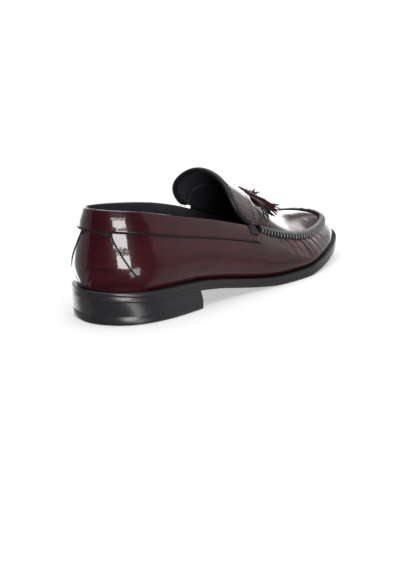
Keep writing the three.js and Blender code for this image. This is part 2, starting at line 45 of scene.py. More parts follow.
# Camera at the photo's viewing angle
camera = bpy.data.objects.new("camera", bpy.data.cameras.new("camera"))
camera.data.sensor_width = 36
camera.data.lens = 95.44
camera.data.shift_x = 0.0019
camera.data.shift_y = -0.0033
camera.data.clip_start = 0.05
camera.location = (0.62728, -0.91336, 0.27511)
camera.rotation_euler = (math.radians(90 - 14.03), 0, math.radians(35.05))
bpy.context.scene.collection.objects.link(camera)
bpy.context.scene.camera = camera

# ---- The shoe's own sizes, in millimetres, the same as in the CAD source ----
SOLE_LENGTH = 300
BALL_WIDTH = 105
HEEL_LIFT = 17
TOE_SPRING = 13
OUTSOLE = 3.9
WELT = 2.4
INSOLE = 2
HEEL_LENGTH = 78.7
HEEL_SPREAD = 1.05
HEEL_UNDERCUT = 3
TOP_PIECE = 6
WELT_MARGIN = 4.2
COLLAR_RISE = 52.5
INSTEP_RISE = 33
WALL = 2.2
OVERLAY = 1.2
GAP = 0.3
BAND_BACK, BAND_FRONT, BAND_TAPER = 14.8, 11.2, 2
SEAM_REACH = 2.6
SEAM_CREST = 1.95
LEDGE = 1.2
TOE_CURVE = 24
THROAT_SHARE = 0.51
BAND_END = 0.498
TAB_SHARES = (0.472, 0.497)
TAB_HEIGHT = 7
TONGUE_TOP, TONGUE_EAR, TONGUE_FOOT = 0.437, 0.01, 0.49
STRAP_CENTRE, STRAP_SIDE, STRAP_POINT = 0.588, 0.512, 3
STRAP_LAP = 5
STRAP_TOP = OVERLAY + GAP
TONGUE_THICK = 2.5

OUTLINE = [  # share of the length, outer and inner half width as shares of the ball width
    (0, .01, .01), (.02, .171, -.148), (.055, .26, -.262), (.11, .322, -.326), (.18, .356, -.342),
    (.26, .367, -.33), (.36, .382, -.316), (.46, .414, -.33), (.56, .467, -.387), (.64, .498, -.447),
    (.71, .497, -.489), (.78, .461, -.5), (.85, .404, -.472), (.91, .333, -.408), (.955, .25, -.322),
    (.985, .134, -.204), (1, -.035, -.035)]
PROFILE = [  # share, heel lift, toe spring
    (0, 1, 0), (.06, .915, 0), (.12, .86, 0), (.19, .825, 0), (.26, .75, 0), (.34, .57, 0),
    (.42, .32, 0), (.5, .1, 0), (.55, .015, 0), (.575, 0, 0), (.68, 0, 0), (.73, 0, .1),
    (.79, 0, .25), (.86, 0, .47), (.93, 0, .73), (1, 0, 1)]
RIM = [  # share, outer and inner rise, outer and inner inset
    (0, 1.055, 1.055, .08, .08), (.04, 1.05, 1.035, .086, .086), (.1, 1.017, 1.02, .09, .091),
    (.18, .932, .985, .088, .088), (.28, .845, .95, .082, .083), (.4, .785, .93, .087, .089),
    (.5, .71, .86, .109, .111), (.6, .555, .71, .137, .143), (.7, .435, .555, .137, .167),
    (.8, .345, .42, .13, .18), (.88, .3, .34, .122, .181), (.94, .28, .295, .118, .176),
    (.98, .275, .28, .128, .165), (1, .28, .28, .155, .155)]
SWELL = [
    (0, .034, .034), (.1, .044, .044), (.25, .056, .058), (.4, .072, .068), (.55, .072, .07),
    (.7, .055, .058), (.85, .038, .045), (.95, .02, .03), (1, .018, .018)]
CROWN = [  # share, height of the arch, its roundness
    (0, 1, 1), (.3, 1, 1), (.427, .985, 1), (.5, .85, 1.05), (.553, .73, 1.15), (.59, .6, 1.3),
    (.63, .44, 1.5), (.68, .32, 1.75), (.74, .26, 1.95), (.82, .225, 2), (.88, .18, 2),
    (.94, .11, 2), (1, 0, 2)]


def mix(a, b, k):
    return a + (b - a) * k


def smooth(x):
    x = np.clip(x, 0, 1)
    return x * x * (3 - 2 * x)


def angle_at(share):
    return np.arccos(np.clip(1 - 2 * np.asarray(share, float), -1, 1))


def share_at(angle):
    return (1 - np.cos(angle)) / 2


def curve(xs, ys, steady=False, period=0):
    shifts = (-period, 0, period) if period else (0,)
    x = np.concatenate([np.asarray(xs, float) + s for s in shifts])
    y = np.tile(np.asarray(ys, float), len(shifts))
    span, secant = np.diff(x), np.diff(y) / np.diff(x)
    slope = np.append(secant, secant[-1])
    for _ in range(1 if steady else 40):
        for i in range(1, len(x) - 1):
            a, b = span[i - 1], span[i]
            if steady:
                both = secant[i - 1] * secant[i]
                slope[i] = 2 * both / (secant[i - 1] + secant[i]) if both > 0 else 0
            else:
                pull = 3 * (b * secant[i - 1] + a * secant[i])
                slope[i] = (pull - b * slope[i - 1] - a * slope[i + 1]) / (2 * (a + b))

    def value(at):
        at = np.asarray(at, float)
        at = np.mod(at, period) if period else at
        i = np.clip(np.searchsorted(x, at, side="left") - 1, 0, len(x) - 2)
        k = (at - x[i]) / span[i]
        r = 1 - k
        line = y[i] * r * r * (1 + 2 * k) + y[i + 1] * k * k * (3 - 2 * k)
        return line + span[i] * k * r * (slope[i] * r - slope[i + 1] * k)
    return value


def ring(rows, outer, inner=None):
    inner = outer if inner is None else inner
    there = [(angle_at(r[0]), r[outer]) for r in rows]
    back = [(TURN - angle_at(r[0]), r[inner]) for r in rows[-2:0:-1]]
    return curve(*zip(*(there + back)), period=TURN)


edge_share = ring(OUTLINE, 1, 2)
rise_share = ring(RIM, 1, 2)
inset_share = ring(RIM, 3, 4)
swell_share = ring(SWELL, 1, 2)
crown_share = ring(CROWN, 1)
roundness = ring(CROWN, 2)
lift = curve([r[0] for r in PROFILE], [r[1] for r in PROFILE], steady=True)
spring = curve([r[0] for r in PROFILE], [r[2] for r in PROFILE], steady=True)


# ---- Sole outline and the last's surface ----
def plan_point(u, inset):
    def at(a):
        return np.stack([edge_share(a) * BALL_WIDTH, -np.cos(a) * SOLE_LENGTH / 2], -1)
    u, inset = np.broadcast_arrays(np.asarray(u, float), np.asarray(inset, float))
    along = at(u + 0.001) - at(u - 0.001)
    along /= np.linalg.norm(along, axis=-1, keepdims=True)
    way = np.stack([-along[..., 1], along[..., 0]], -1)
    return at(u) + way * inset[..., None]


def underside(y):
    share = np.clip(y / SOLE_LENGTH + 0.5, 0, 1)
    return lift(share) * HEEL_LIFT + spring(share) * TOE_SPRING


def welt_top(y):
    return underside(y) + OUTSOLE + GAP + WELT


def rim_rise(u):
    return rise_share(u) * COLLAR_RISE


def wall_face(u, h):
    u, h = np.broadcast_arrays(np.asarray(u, float), np.asarray(h, float))
    full = h * (1.6 - 0.6 * h)
    bulge = 4 * full * (1 - full) * swell_share(u) * BALL_WIDTH
    xy = plan_point(u, mix(WELT_MARGIN, inset_share(u) * BALL_WIDTH, h) - bulge)
    z = welt_top(xy[..., 1]) + mix(GAP, rim_rise(u), h)
    return np.concatenate([xy, z[..., None]], -1)


def arch_face(across, u):
    across, u = np.broadcast_arrays(np.asarray(across, float), np.asarray(u, float))
    outer, inner = wall_face(u, 1.0), wall_face(TURN - u, 1.0)
    place = mix(inner, outer, ((1 + across) / 2)[..., None])
    rise = np.maximum(0, 1 - across ** 2) ** (roundness(u) / 2)
    place[..., 2] += crown_share(u) * INSTEP_RISE * rise
    return place


def unit(v):
    return v / np.maximum(np.linalg.norm(v, axis=-1, keepdims=True), 1e-12)


def normal_of(face, a, b, step_a, step_b):
    along_a = face(a + step_a, b) - face(a - step_a, b)
    along_b = face(a, b + step_b) - face(a, b - step_b)
    return unit(np.cross(along_a, along_b))


def wall_normal(u, h):
    return normal_of(wall_face, np.asarray(u, float), np.asarray(h, float), 0.004, 0.004)


def arch_normal(across, u):
    sway = np.clip(across, -0.985, 0.985)
    return normal_of(arch_face, sway, np.minimum(u, math.pi - 0.12), 0.01, 0.004)


def on_wall(u, h, off):
    return wall_face(u, h) + wall_normal(u, h) * np.asarray(off, float)[..., None]


def on_arch(across, u, off):
    return arch_face(across, u) + arch_normal(across, u) * np.asarray(off, float)[..., None]


def crease_point(u, off):
    u = np.asarray(u, float)
    side = np.where(np.sin(u) < 0, -1.0, 1.0)
    arch_u = np.where(u > math.pi, TURN - u, u)
    wall_side, arch_side = wall_normal(u, 1.0), arch_normal(side, arch_u)
    share = off / (1 + (wall_side * arch_side).sum(-1, keepdims=True))
    return wall_face(u, 1.0) + (wall_side + arch_side) * share


def half_chord(u):
    return np.linalg.norm(wall_face(u, 1.0) - wall_face(TURN - np.asarray(u), 1.0), axis=-1) / 2


def ring_end(margin):
    low, high = math.pi * 0.6, math.pi
    for _ in range(30):
        middle = (low + high) / 2
        if half_chord(middle) ** 2 > 2 * margin * TOE_CURVE:
            low = middle
        else:
            high = middle
    return low


def ring_across(u, margin):
    """How far across the arch a line lies that runs that far in from the rim."""
    u, margin = np.broadcast_arrays(np.asarray(u, float), np.asarray(margin, float))
    half, height = half_chord(u), crown_share(u) * INSTEP_RISE
    low, high = np.zeros_like(half), np.ones_like(half)
    for _ in range(24):
        middle = (low + high) / 2
        rise = height * (1 - middle ** 2) ** (roundness(u) / 2)
        inside = np.hypot(half * (1 - middle), rise) > margin
        low, high = np.where(inside, middle, low), np.where(inside, high, middle)
    inward = half * (1 - low)
    across = np.sqrt(np.maximum(0, 1 - 2 * inward * np.maximum(half, TOE_CURVE) / half ** 2))
    return np.where(margin <= 0, 1.0, across)


THROAT = float(angle_at(THROAT_SHARE))


def ring_angle(k, margin):
    return mix(THROAT, ring_end(margin) if margin else math.pi, k)


def on_ring(k, side, margin, off):
    u = ring_angle(k, margin)
    return on_arch(side * ring_across(u, margin), u, off)


def strap_edge(across):
    return mix(STRAP_SIDE, STRAP_CENTRE, np.maximum(0, 1 - across ** 2) ** STRAP_POINT)


# ---- Mesh making ----
def build(name, points, faces, mats, which=None, node=None):
    mesh = bpy.data.meshes.new(name)
    mesh.from_pydata((np.asarray(points) * MM).tolist(), [], [tuple(f) for f in faces])
    for m in mats:
        mesh.materials.append(m)
    if which is not None:
        mesh.polygons.foreach_set("material_index", np.asarray(which, np.int32))
    mesh.polygons.foreach_set("use_smooth", np.ones(len(mesh.polygons), bool))
    mesh.update()
    piece = bpy.data.objects.new(name, mesh)
    bpy.context.scene.collection.objects.link(piece)
    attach(piece, "root")
    if node:
        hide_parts(*([node] if isinstance(node, str) else node))
    return piece


def grid_faces(ids, wrap):
    if wrap:
        ids = np.concatenate([ids, ids[:, :1]], 1)
    return np.stack([ids[:-1, :-1], ids[:-1, 1:], ids[1:, 1:], ids[1:, :-1]], -1).reshape(-1, 4)


def shell(outer, inner, wrap=False):
    """A closed skin from two grids of points; the second number tells its two sides and its rim apart."""
    rows, columns = outer.shape[:2]
    ids = np.arange(rows * columns).reshape(rows, columns)
    count = rows * columns
    top = grid_faces(ids, wrap)
    faces = [top, top[:, ::-1] + count]
    kind = [np.zeros(len(top), int), np.ones(len(top), int)]
    edges = [ids[0], ids[-1][::-1]]
    if not wrap:
        edges += [ids[::-1, 0], ids[:, -1]]
    for edge in edges:
        edge = np.append(edge, edge[0]) if wrap else edge
        a, b = edge[:-1], edge[1:]
        faces.append(np.stack([b, a, a + count, b + count], -1))
        kind.append(np.full(len(a), 2))
    points = np.concatenate([outer.reshape(-1, 3), inner.reshape(-1, 3)])
    return points, outward(points, np.concatenate(faces)), np.concatenate(kind)


def outward(points, faces):
    a, b, c, d = (points[faces[:, i]] for i in range(4))
    volume = (a * np.cross(b, c)).sum() + (a * np.cross(c, d)).sum()
    return faces[:, ::-1] if volume < 0 else faces


def tube(centres, across, up, section):
    """A section carried along centres, capped at both ends. across and up are unit vectors."""
    section = np.asarray(section, float)
    size, count = len(section), len(centres)
    rows = (centres[:, None] + across[:, None] * section[None, :, :1] + up[:, None] * section[None, :, 1:])
    ids = np.arange(count * size).reshape(count, size)
    faces = [tuple(f) for f in grid_faces(ids, True)]
    faces += [tuple(ids[0][::-1]), tuple(ids[-1])]
    return rows.reshape(-1, 3), faces


class Heap:
    """Many small closed bodies gathered in one mesh."""

    def __init__(self):
        self.points, self.faces, self.kinds, self.count = [], [], [], 0

    def add(self, points, faces, kind=0):
        self.points.append(points)
        self.faces += [tuple(int(i) + self.count for i in f) for f in faces]
        self.kinds += [kind] * len(faces)
        self.count += len(points)

    def piece(self, name, mats, node=None, slot=None):
        return build(name, np.concatenate(self.points), self.faces, mats, self.kinds, node)


def circle(radius, sides, flat=1.0):
    turns = [TURN * i / sides for i in range(sides)]
    return [(radius * math.cos(t), flat * radius * math.sin(t)) for t in turns]


def frames(path, up):
    along = unit(np.gradient(path, axis=0))
    side = unit(np.cross(along, up))
    return side, unit(np.cross(side, along))


def resample(path, count):
    reach = np.append(0, np.cumsum(np.linalg.norm(np.diff(path, axis=0), axis=1)))
    at = np.linspace(0, reach[-1], count)
    return np.stack([np.interp(at, reach, path[:, i]) for i in range(path.shape[1])], -1)


def length_of(path):
    return float(np.linalg.norm(np.diff(path[:, :3], axis=0), axis=1).sum())


def running_stitches(heap, path, up, pitch, length, radius, sink=0.35):
    """Short beads of thread along a path, half sunk in the leather."""
    count = max(2, int(length_of(path) / pitch))
    both = resample(np.concatenate([path, up], 1), count * 6 + 1)
    for i in range(count):
        part = both[i * 6:i * 6 + 7]
        centre, top = part[3, :3], unit(part[3, 3:])
        along = unit(part[6, :3] - part[0, :3])
        k = np.linspace(-1, 1, 5)
        girth = np.sqrt(np.maximum(0.12, 1 - k ** 4))
        side = unit(np.cross(along, top))
        line = centre + along * (k * length / 2)[:, None] + top * (radius * (girth - 1 - sink))[:, None]
        ring6 = np.array(circle(radius, 6))
        rows = line[:, None] + (side * ring6[:, :1] + top * ring6[:, 1:])[None] * girth[:, None, None]
        ids = np.arange(30).reshape(5, 6)
        heap.add(rows.reshape(-1, 3), [*grid_faces(ids, True), ids[0][::-1], ids[-1]])


# ---- Materials ----
def material(name):
    m = bpy.data.materials.new(name)
    m.use_nodes = True
    tree = m.node_tree
    tree.nodes.clear()
    out = tree.nodes.new("ShaderNodeOutputMaterial")
    shader = tree.nodes.new("ShaderNodeBsdfPrincipled")
    tree.links.new(shader.outputs[0], out.inputs["Surface"])
    return m, tree, shader


def node(tree, kind, **values):
    n = tree.nodes.new(kind)
    for key, value in values.items():
        if key in n.inputs:
            n.inputs[key].default_value = value
        else:
            setattr(n, key, value)
    return n


def object_place(tree, scale=(1, 1, 1)):
    coords = tree.nodes.new("ShaderNodeTexCoord")
    mapping = tree.nodes.new("ShaderNodeMapping")
    mapping.inputs["Scale"].default_value = scale
    tree.links.new(coords.outputs["Object"], mapping.inputs["Vector"])
    return mapping.outputs[0]


def noise(tree, place, scale, detail=3.0, rough=0.5):
    n = node(tree, "ShaderNodeTexNoise", Scale=scale, Detail=detail, Roughness=rough)
    tree.links.new(place, n.inputs["Vector"])
    return n.outputs[0]


def ramp(tree, value, stops):
    n = tree.nodes.new("ShaderNodeValToRGB")
    while len(n.color_ramp.elements) < len(stops):
        n.color_ramp.elements.new(0.5)
    for element, (at, colour) in zip(n.color_ramp.elements, stops):
        element.position = at
        element.color = (*colour, 1) if len(colour) == 3 else colour
    tree.links.new(value, n.inputs[0])
    return n.outputs[0]


def spread(tree, value, low, high, a=0.0, b=1.0):
    n = node(tree, "ShaderNodeMapRange")
    n.inputs["From Min"].default_value = low
    n.inputs["From Max"].default_value = high
    n.inputs["To Min"].default_value = a
    n.inputs["To Max"].default_value = b
    tree.links.new(value, n.inputs["Value"])
    return n.outputs[0]


def math_node(tree, operation, a, b=None, c=None):
    n = node(tree, "ShaderNodeMath", operation=operation)
    for socket, value in zip(n.inputs, (a, b, c)):
        if isinstance(value, (int, float)):
            socket.default_value = value
        elif value is not None:
            tree.links.new(value, socket)
    return n.outputs[0]


def bump(tree, shader, height, strength, distance, before=None):
    n = node(tree, "ShaderNodeBump", Strength=strength, Distance=distance)
    tree.links.new(height, n.inputs["Height"])
    if before is not None:
        tree.links.new(before, n.inputs["Normal"])
    tree.links.new(n.outputs[0], shader.inputs["Normal"])
    return n.outputs[0]


def patent_leather(name, deep, mid, coat=1.0, rough=0.32, ior=1.52):
    m, tree, shader = material(name)
    place = object_place(tree)
    streak = noise(tree, object_place(tree, (0.3, 0.3, 2.4)), 110, 4, 0.6)
    cloud = math_node(tree, "MULTIPLY_ADD", noise(tree, place, 22, 4, 0.55), 0.6, 0.2)
    both = math_node(tree, "ADD", cloud, math_node(tree, "MULTIPLY_ADD", streak, 0.9, -0.45))
    tree.links.new(ramp(tree, both, [(0.3, deep), (0.72, mid)]), shader.inputs["Base Color"])
    grain = noise(tree, place, 1400, 2, 0.6)
    tree.links.new(spread(tree, grain, 0.3, 0.7, rough - 0.05, rough + 0.07), shader.inputs["Roughness"])
    ripple = noise(tree, place, 46, 4, 0.55)
    first = bump(tree, shader, ripple, 0.34, 0.001)
    bump(tree, shader, grain, 0.03, 0.0001, first)
    shader.inputs["Coat Weight"].default_value = coat
    shader.inputs["Coat Roughness"].default_value = 0.035
    shader.inputs["Coat IOR"].default_value = ior
    shader.inputs["Specular IOR Level"].default_value = 0.2
    tree.links.new(first, shader.inputs["Coat Normal"])
    return m


def grained(name, deep, mid, rough, scale=900, depth=0.00012, coat=0.0, stretch=(1, 1, 1)):
    m, tree, shader = material(name)
    place = object_place(tree, stretch)
    cloud = noise(tree, place, 30, 4, 0.6)
    tree.links.new(ramp(tree, cloud, [(0.3, deep), (0.7, mid)]), shader.inputs["Base Color"])
    cells = node(tree, "ShaderNodeTexVoronoi", Scale=scale)
    tree.links.new(place, cells.inputs["Vector"])
    tree.links.new(spread(tree, cloud, 0.3, 0.7, rough - 0.06, rough + 0.08), shader.inputs["Roughness"])
    bump(tree, shader, cells.outputs["Distance"], 0.5, depth)
    shader.inputs["Coat Weight"].default_value = coat
    shader.inputs["Coat Roughness"].default_value = 0.12
    return m


def heel_polish(name, deep, mid, rough):
    """Stained and polished edge, with fine lines that run round it."""
    m, tree, shader = material(name)
    lines = noise(tree, object_place(tree, (14, 14, 3200)), 1, 3, 0.7)
    cloud = noise(tree, object_place(tree, (90, 90, 500)), 1, 4, 0.6)
    tree.links.new(ramp(tree, lines, [(0.25, deep), (0.75, mid)]), shader.inputs["Base Color"])
    tree.links.new(spread(tree, cloud, 0.3, 0.7, rough - 0.04, rough + 0.05), shader.inputs["Roughness"])
    bump(tree, shader, lines, 0.35, 0.00012)
    shader.inputs["Specular IOR Level"].default_value = 0.4
    shader.inputs["Coat Weight"].default_value = 0.3
    shader.inputs["Coat Roughness"].default_value = 0.24
    return m


burgundy = patent_leather("patent_burgundy", (0.015, 0.0014, 0.0028), (0.046, 0.0040, 0.0076))
# The strap's base colour is lighter and greyer than the burgundy of the same patent leather: a painted
# reflection of the pale surroundings on the strap and tongue.
strap_patent_painted_reflection = patent_leather("patent_strap_painted_reflection", (0.034, 0.012, 0.016), (0.055, 0.022, 0.028), 1.0, 0.25, 2.1)
black_leather = grained("trim_black", (0.006, 0.0066, 0.0078), (0.011, 0.012, 0.0145), 0.42)
lining = grained("lining_black", (0.034, 0.037, 0.046), (0.052, 0.057, 0.068), 0.55)
tassel_patent = patent_leather("patent_tassel", (0.020, 0.0018, 0.0036), (0.040, 0.0034, 0.0064),
                               0.45, 0.4, 1.4)
tongue_lining = grained("tongue_lining", (0.016, 0.017, 0.021), (0.024, 0.026, 0.031), 0.6)
thread = grained("thread_black", (0.002, 0.002, 0.0024), (0.005, 0.005, 0.006), 0.75, 2600, 0.00008)
# The grey base colour of the whip-stitch thread is a painted highlight: it stands in for the glints on the
# black thread of the apron seam.
seam_thread_painted_glint = grained("thread_grey_painted_glint", (0.15, 0.15, 0.157), (0.24, 0.24, 0.25), 0.5, 2600, 0.00008, 0.15)
edge_dark = heel_polish("sole_edge", (0.013, 0.0135, 0.015), (0.026, 0.027, 0.029), 0.3)
rubber = grained("heel_rubber", (0.008, 0.008, 0.009), (0.014, 0.014, 0.015), 0.45, 1200)

# ---- Sole ----


def slab(name, edges, top, bottom, mats, node_name, reach=math.pi, side_cells=6):
    """A sole layer. edges are (outline, share of the height) from the upper edge down."""
    count = 180
    us = np.linspace(0, reach, count + 1)
    k = np.linspace(0, 1, side_cells + 1)[1:-1]

    def row(outline, level):
        a, b = outline(us), outline(TURN - us)
        both = np.stack([a, b])
        z = mix(bottom(both[..., 1]), top(both[..., 1]), level)
        return np.concatenate([both, z[..., None]], -1)
    rings = [row(outline, level) for outline, level in edges]
    first, last = rings[0], rings[-1]

    def inner(ring_pair, level):
        cells = [mix(ring_pair[0], ring_pair[1], t) for t in k]
        surface = top if level else bottom
        for c in cells:
            c[:, 2] = surface(c[:, 1])
        return cells
    loop = [first[0], *inner(first, 1), first[1], *[r[1] for r in rings[1:]],
            *inner(last, 0)[::-1], *[r[0] for r in rings[:0:-1]]]
    grid = np.stack(loop, 1)
    rows, size = grid.shape[:2]
    ids = np.arange(rows * size).reshape(rows, size)
    faces = [tuple(f) for f in grid_faces(ids, True)]
    points = grid.reshape(-1, 3)
    faces += [tuple(ids[-1])]
    piece = build(name, points, faces, mats, None, node_name)
    join_and_sharpen(piece)
    return piece


def join_and_sharpen(piece):
    bm = bmesh.new()
    bm.from_mesh(piece.data)
    bmesh.ops.remove_doubles(bm, verts=bm.verts, dist=1e-6)
    bmesh.ops.dissolve_degenerate(bm, dist=1e-7, edges=bm.edges)
    bmesh.ops.recalc_face_normals(bm, faces=bm.faces)
    bm.to_mesh(piece.data)
    bm.free()
    sharp_by_angle(piece)


def sharp_by_angle(piece, degrees=50):
    piece.data.polygons.foreach_set("use_smooth", np.ones(len(piece.data.polygons), bool))
    piece.data.set_sharp_from_angle(angle=math.radians(degrees))


def even(inset):
    return lambda u: plan_point(u, inset)


def heel_line(u, inset=0.0):
    xy = plan_point(u, 0.0)
    back = np.clip(1 - share_at(u) * SOLE_LENGTH / HEEL_LENGTH, 0, 1)
    line = np.stack([xy[..., 0] * HEEL_SPREAD, xy[..., 1] + HEEL_UNDERCUT * back ** 2], -1)
    return line + (plan_point(u, inset) - xy)


def outsole_top(y):
    return underside(y) + OUTSOLE


HEEL_REACH = float(angle_at(HEEL_LENGTH / SOLE_LENGTH))
slab("outsole_edge", [(even(0.08), 1), (even(0.0), 0.95), (even(0.0), 0.2), (even(0.05), 0.05),
                      (even(0.3), 0)],
     outsole_top, underside, [edge_dark], "outsole")
slab("welt_strip", [(even(0.8), 1), (even(0.25), 0.95), (even(0.05), 0.82), (even(0.0), 0.5),
                    (even(0.0), 0.12), (even(0.08), 0)],
     welt_top, lambda y: outsole_top(y) + 0.05, [edge_dark], "welt")
slab("heel_stack", [(even(0.05), 1), (lambda u: mix(even(0.0)(u), heel_line(u), 0.15), 0.85),
                    (lambda u: mix(even(0.0)(u), heel_line(u), 0.6), 0.4), (heel_line, 0)],
     lambda y: underside(y) - 0.05, lambda y: np.full_like(y, TOP_PIECE), [edge_dark], "heel_block",
     HEEL_REACH)
slab("heel_top_lift", [(lambda u: heel_line(u, 0.08), 1), (heel_line, 0.97), (heel_line, 0.16),
                       (lambda u: heel_line(u, 0.12), 0.05), (lambda u: heel_line(u, 0.5), 0)],
     lambda y: np.full_like(y, TOP_PIECE), lambda y: np.zeros_like(y), [edge_dark, rubber], "heel_top_piece",
     HEEL_REACH)
INSOLE_EDGE = WELT_MARGIN + WALL + 2 * GAP
slab("insole_sock", [(even(INSOLE_EDGE + 0.9), 1), (even(INSOLE_EDGE + 0.2), 0.8), (even(INSOLE_EDGE), 0.4),
                     (even(INSOLE_EDGE + 0.2), 0)],
     lambda y: welt_top(y) + GAP + INSOLE, lambda y: welt_top(y) + GAP, [black_leather], "insole")

heap = Heap()
WELT_STITCH_INSET = 2.3
us = np.linspace(float(angle_at(0.16)), TURN - float(angle_at(0.16)), 900)
xy = plan_point(us, WELT_STITCH_INSET)
path = np.concatenate([xy, welt_top(xy[:, 1])[:, None]], 1)
running_stitches(heap, path, np.tile([0.0, 0, 1], (len(path), 1)), 3.2, 2.4, 0.6, 0.1)
heap.piece("welt_stitches", [thread], None, "waxed_thread")

# ---- Upper ----
# Puckers under the seam: share of the length, side, reach down the wall and depth in mm, width in mm, lean
PUCKERS = [
    (.585, 1, 10, .15, 3.0, .3), (.62, 1, 14, .3, 3.4, .35), (.652, 1, 12, .25, 2.6, .3),
    (.684, 1, 19, .38, 3.6, .4), (.712, 1, 15, .3, 2.8, .3), (.747, 1, 21, .42, 4.0, .35),
    (.776, 1, 11, .2, 2.4, .3), (.812, 1, 14, .22, 3.0, .25), (.845, 1, 9, .14, 2.2, .2),
    (.88, 1, 11, .16, 2.6, .15), (.93, 1, 8, .12, 2.2, .1), (.975, 1, 8, .12, 2.4, 0),
    (.59, -1, 10, .15, 3.0, .3), (.63, -1, 14, .3, 3.2, .3), (.668, -1, 16, .32, 3.0, .35),
    (.702, -1, 13, .3, 2.8, .3), (.742, -1, 18, .4, 3.6, .3), (.781, -1, 14, .3, 2.8, .25),
    (.822, -1, 16, .35, 3.6, .2), (.86, -1, 12, .28, 2.8, .15), (.895, -1, 13, .3, 3.2, .1),
    (.93, -1, 10, .22, 2.6, 0), (.96, -1, 10, .25, 3.0, 0), (.984, -1, 8, .2, 2.6, 0)]
# Long soft folds: start and end share, side, height on the wall at both ends, depth, width in mm
FOLDS = [
    (.36, .62, 1, .2, .17, .35, 2.2), (.64, .74, 1, .55, .3, .3, 3.0), (.6, .72, 1, .62, .5, .25, 3.0),
    (.34, .6, -1, .22, .17, .3, 2.4), (.66, .76, -1, .5, .3, .3, 3.0)]
# Small wrinkles low on the counter: angle from the back, height on the wall, slope, and length, depth
# and width in mm
WRINKLES = [(-.1, .13, 2.2, 9, .3, 1.1), (-.02, .1, 1.9, 8, .3, 1.0), (.07, .09, 2.4, 7, .22, .9),
            (.3, .1, 1.2, 8, .15, 1.0), (-.3, .12, -1.8, 8, .2, 1.0)]

rim_us = np.linspace(0, TURN, 2001)
rim_line = wall_face(rim_us, 1.0)
rim_reach = np.append(0, np.cumsum(np.linalg.norm(np.diff(rim_line, axis=0), axis=1)))


def way_at(u):
    """Length along the rim from the back, over the outer side."""
    return np.interp(np.mod(u, TURN), rim_us, rim_reach)


PLEAT_PITCH = 4.0
pleat_rng = random.Random(11)
PLEAT_SPAN = [float(way_at(float(angle_at(0.56)))), float(way_at(TURN - float(angle_at(0.56))))]
PLEATS = [(PLEAT_SPAN[0] + PLEAT_PITCH * (i + pleat_rng.uniform(-0.25, 0.25)), pleat_rng.uniform(3.0, 7.0),
           pleat_rng.uniform(0.2, 0.55), pleat_rng.uniform(-0.1, 0.35))
          for i in range(int((PLEAT_SPAN[1] - PLEAT_SPAN[0]) / PLEAT_PITCH))]


def pleats(u, h):
    """Small gathers, one to a stitch of the seam."""
    down = (1 - h) * rim_rise(u)
    way = way_at(u)
    middle = sum(PLEAT_SPAN) / 2
    off = np.zeros(way.shape)
    for at_way, reach, depth, lean in PLEATS:
        across = way - at_way - lean * down * (1 if at_way < middle else -1)
        fade = smooth(down / 1.5) * (1 - smooth(down / reach - 0.25))
        off -= depth * fade * np.exp(-(across / (0.5 + 0.08 * down)) ** 2)
    return off


def creases(u, h):
    down = (1 - h) * rim_rise(u)
    way = way_at(u)
    off = np.zeros(np.broadcast(u, h).shape)
    for share, side, reach, depth, width, lean in PUCKERS:
        a = float(angle_at(share)) if side > 0 else TURN - float(angle_at(share))
        middle = float(way_at(a))
        across = way - middle - 0.5 * side * lean * down
        across = (across + rim_reach[-1] / 2) % rim_reach[-1] - rim_reach[-1] / 2
        fade = smooth(down / 2.5) * (1 - smooth((down - reach * 0.35) / (reach * 0.9)))
        spread_out = width * (0.7 + 0.6 * down / reach)
        off += -0.6 * depth * fade * np.exp(-(across / spread_out * 2) ** 2)
        off += 0.2 * depth * fade * np.exp(-((across - spread_out * 1.1) / spread_out * 2) ** 2)
    for start, end, side, low, high, depth, width in FOLDS:
        share = share_at(u)
        along = (share - start) / (end - start)
        here = (np.sin(u) * side > 0)
        height = mix(low, high, along)
        away = (h - height) * rim_rise(u) / width
        off += -depth * here * smooth(along * 4) * smooth((1 - along) * 4) * np.exp(-away ** 2)
    return off


VAMP_START = float(angle_at(0.515))
vamp_from, vamp_to = float(way_at(VAMP_START)), float(way_at(TURN - VAMP_START))
ways = np.concatenate([np.linspace(vamp_from, vamp_to, 640)[:-1],
                       np.linspace(vamp_to, rim_reach[-1] + vamp_from, 181)[:-1]]) % rim_reach[-1]
columns = np.interp(np.sort(ways), rim_reach, rim_us)
heights = np.concatenate([np.linspace(0, 0.5, 14), np.linspace(0.52, 1, 38)])
u_grid, h_grid = np.meshgrid(columns, heights)
off = creases(u_grid, h_grid) + pleats(u_grid, h_grid)
outer = on_wall(u_grid, h_grid, off)
inner = on_wall(u_grid, h_grid, np.full(u_grid.shape, -WALL))
vamp = (share_at(columns) > THROAT_SHARE)
inner[-1, vamp] = crease_point(columns[vamp], -WALL)
points, faces, kinds = shell(outer, inner, wrap=True)
build("upper_leather", points, faces, [burgundy, lining, burgundy], kinds, "upper")

# Apron
rows, columns = 90, 80
apron_margin = LEDGE + 2.5 * GAP
across_share = np.cos(np.linspace(math.pi, 0, columns + 1))
start = angle_at(strap_edge(across_share) - STRAP_LAP / SOLE_LENGTH)
k_grid, a_grid = np.meshgrid(np.linspace(0, 1, rows + 1) ** 0.9, across_share, indexing="ij")
u_grid = mix(np.broadcast_to(start, k_grid.shape), ring_end(apron_margin), k_grid)
a_grid = a_grid * ring_across(u_grid, apron_margin)
points, faces, kinds = shell(on_arch(a_grid, u_grid, np.zeros(u_grid.shape)),
                             on_arch(a_grid, u_grid, -0.15 - 1.35 * smooth(k_grid * 9)))
build("apron_leather", points, faces, [burgundy, tongue_lining, tongue_lining], kinds, "apron")


# Tongue and strap
def tongue_margin(u):
    share = np.clip((share_at(u) - TONGUE_FOOT) / (THROAT_SHARE - TONGUE_FOOT), 0, 1)
    return mix(LEDGE, SEAM_REACH + 3 * GAP, share)


